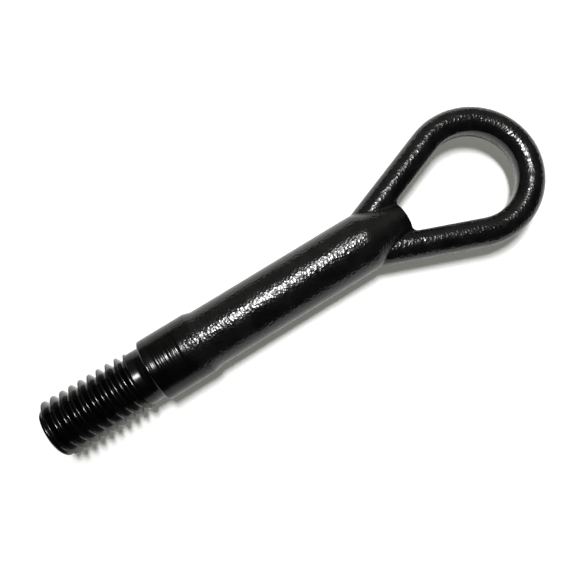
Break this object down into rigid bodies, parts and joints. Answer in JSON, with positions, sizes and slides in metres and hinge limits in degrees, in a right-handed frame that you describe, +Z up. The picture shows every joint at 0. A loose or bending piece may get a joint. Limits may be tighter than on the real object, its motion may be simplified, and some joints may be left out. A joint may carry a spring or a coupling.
{
  "type": "tow eye",
  "caption": "Screw-in tow eye for a car: a forged black steel shank with a coarse thread and a turned collar at one end and a teardrop eye for a tow rope at the other.",
  "frame": {"origin": "under the middle of the piece, on the surface that it lies on", "axes": "+X along the shank from the thread's end to the eye, +Z up, with the eye lying level in XY"},
  "size_m": [0.204, 0.0542, 0.024],
  "materials": {
    "black_paint": "gloss black paint"
  },
  "bodies": {
    "root": {"tow_eye": "black_paint"}
  },
  "joints": []
}
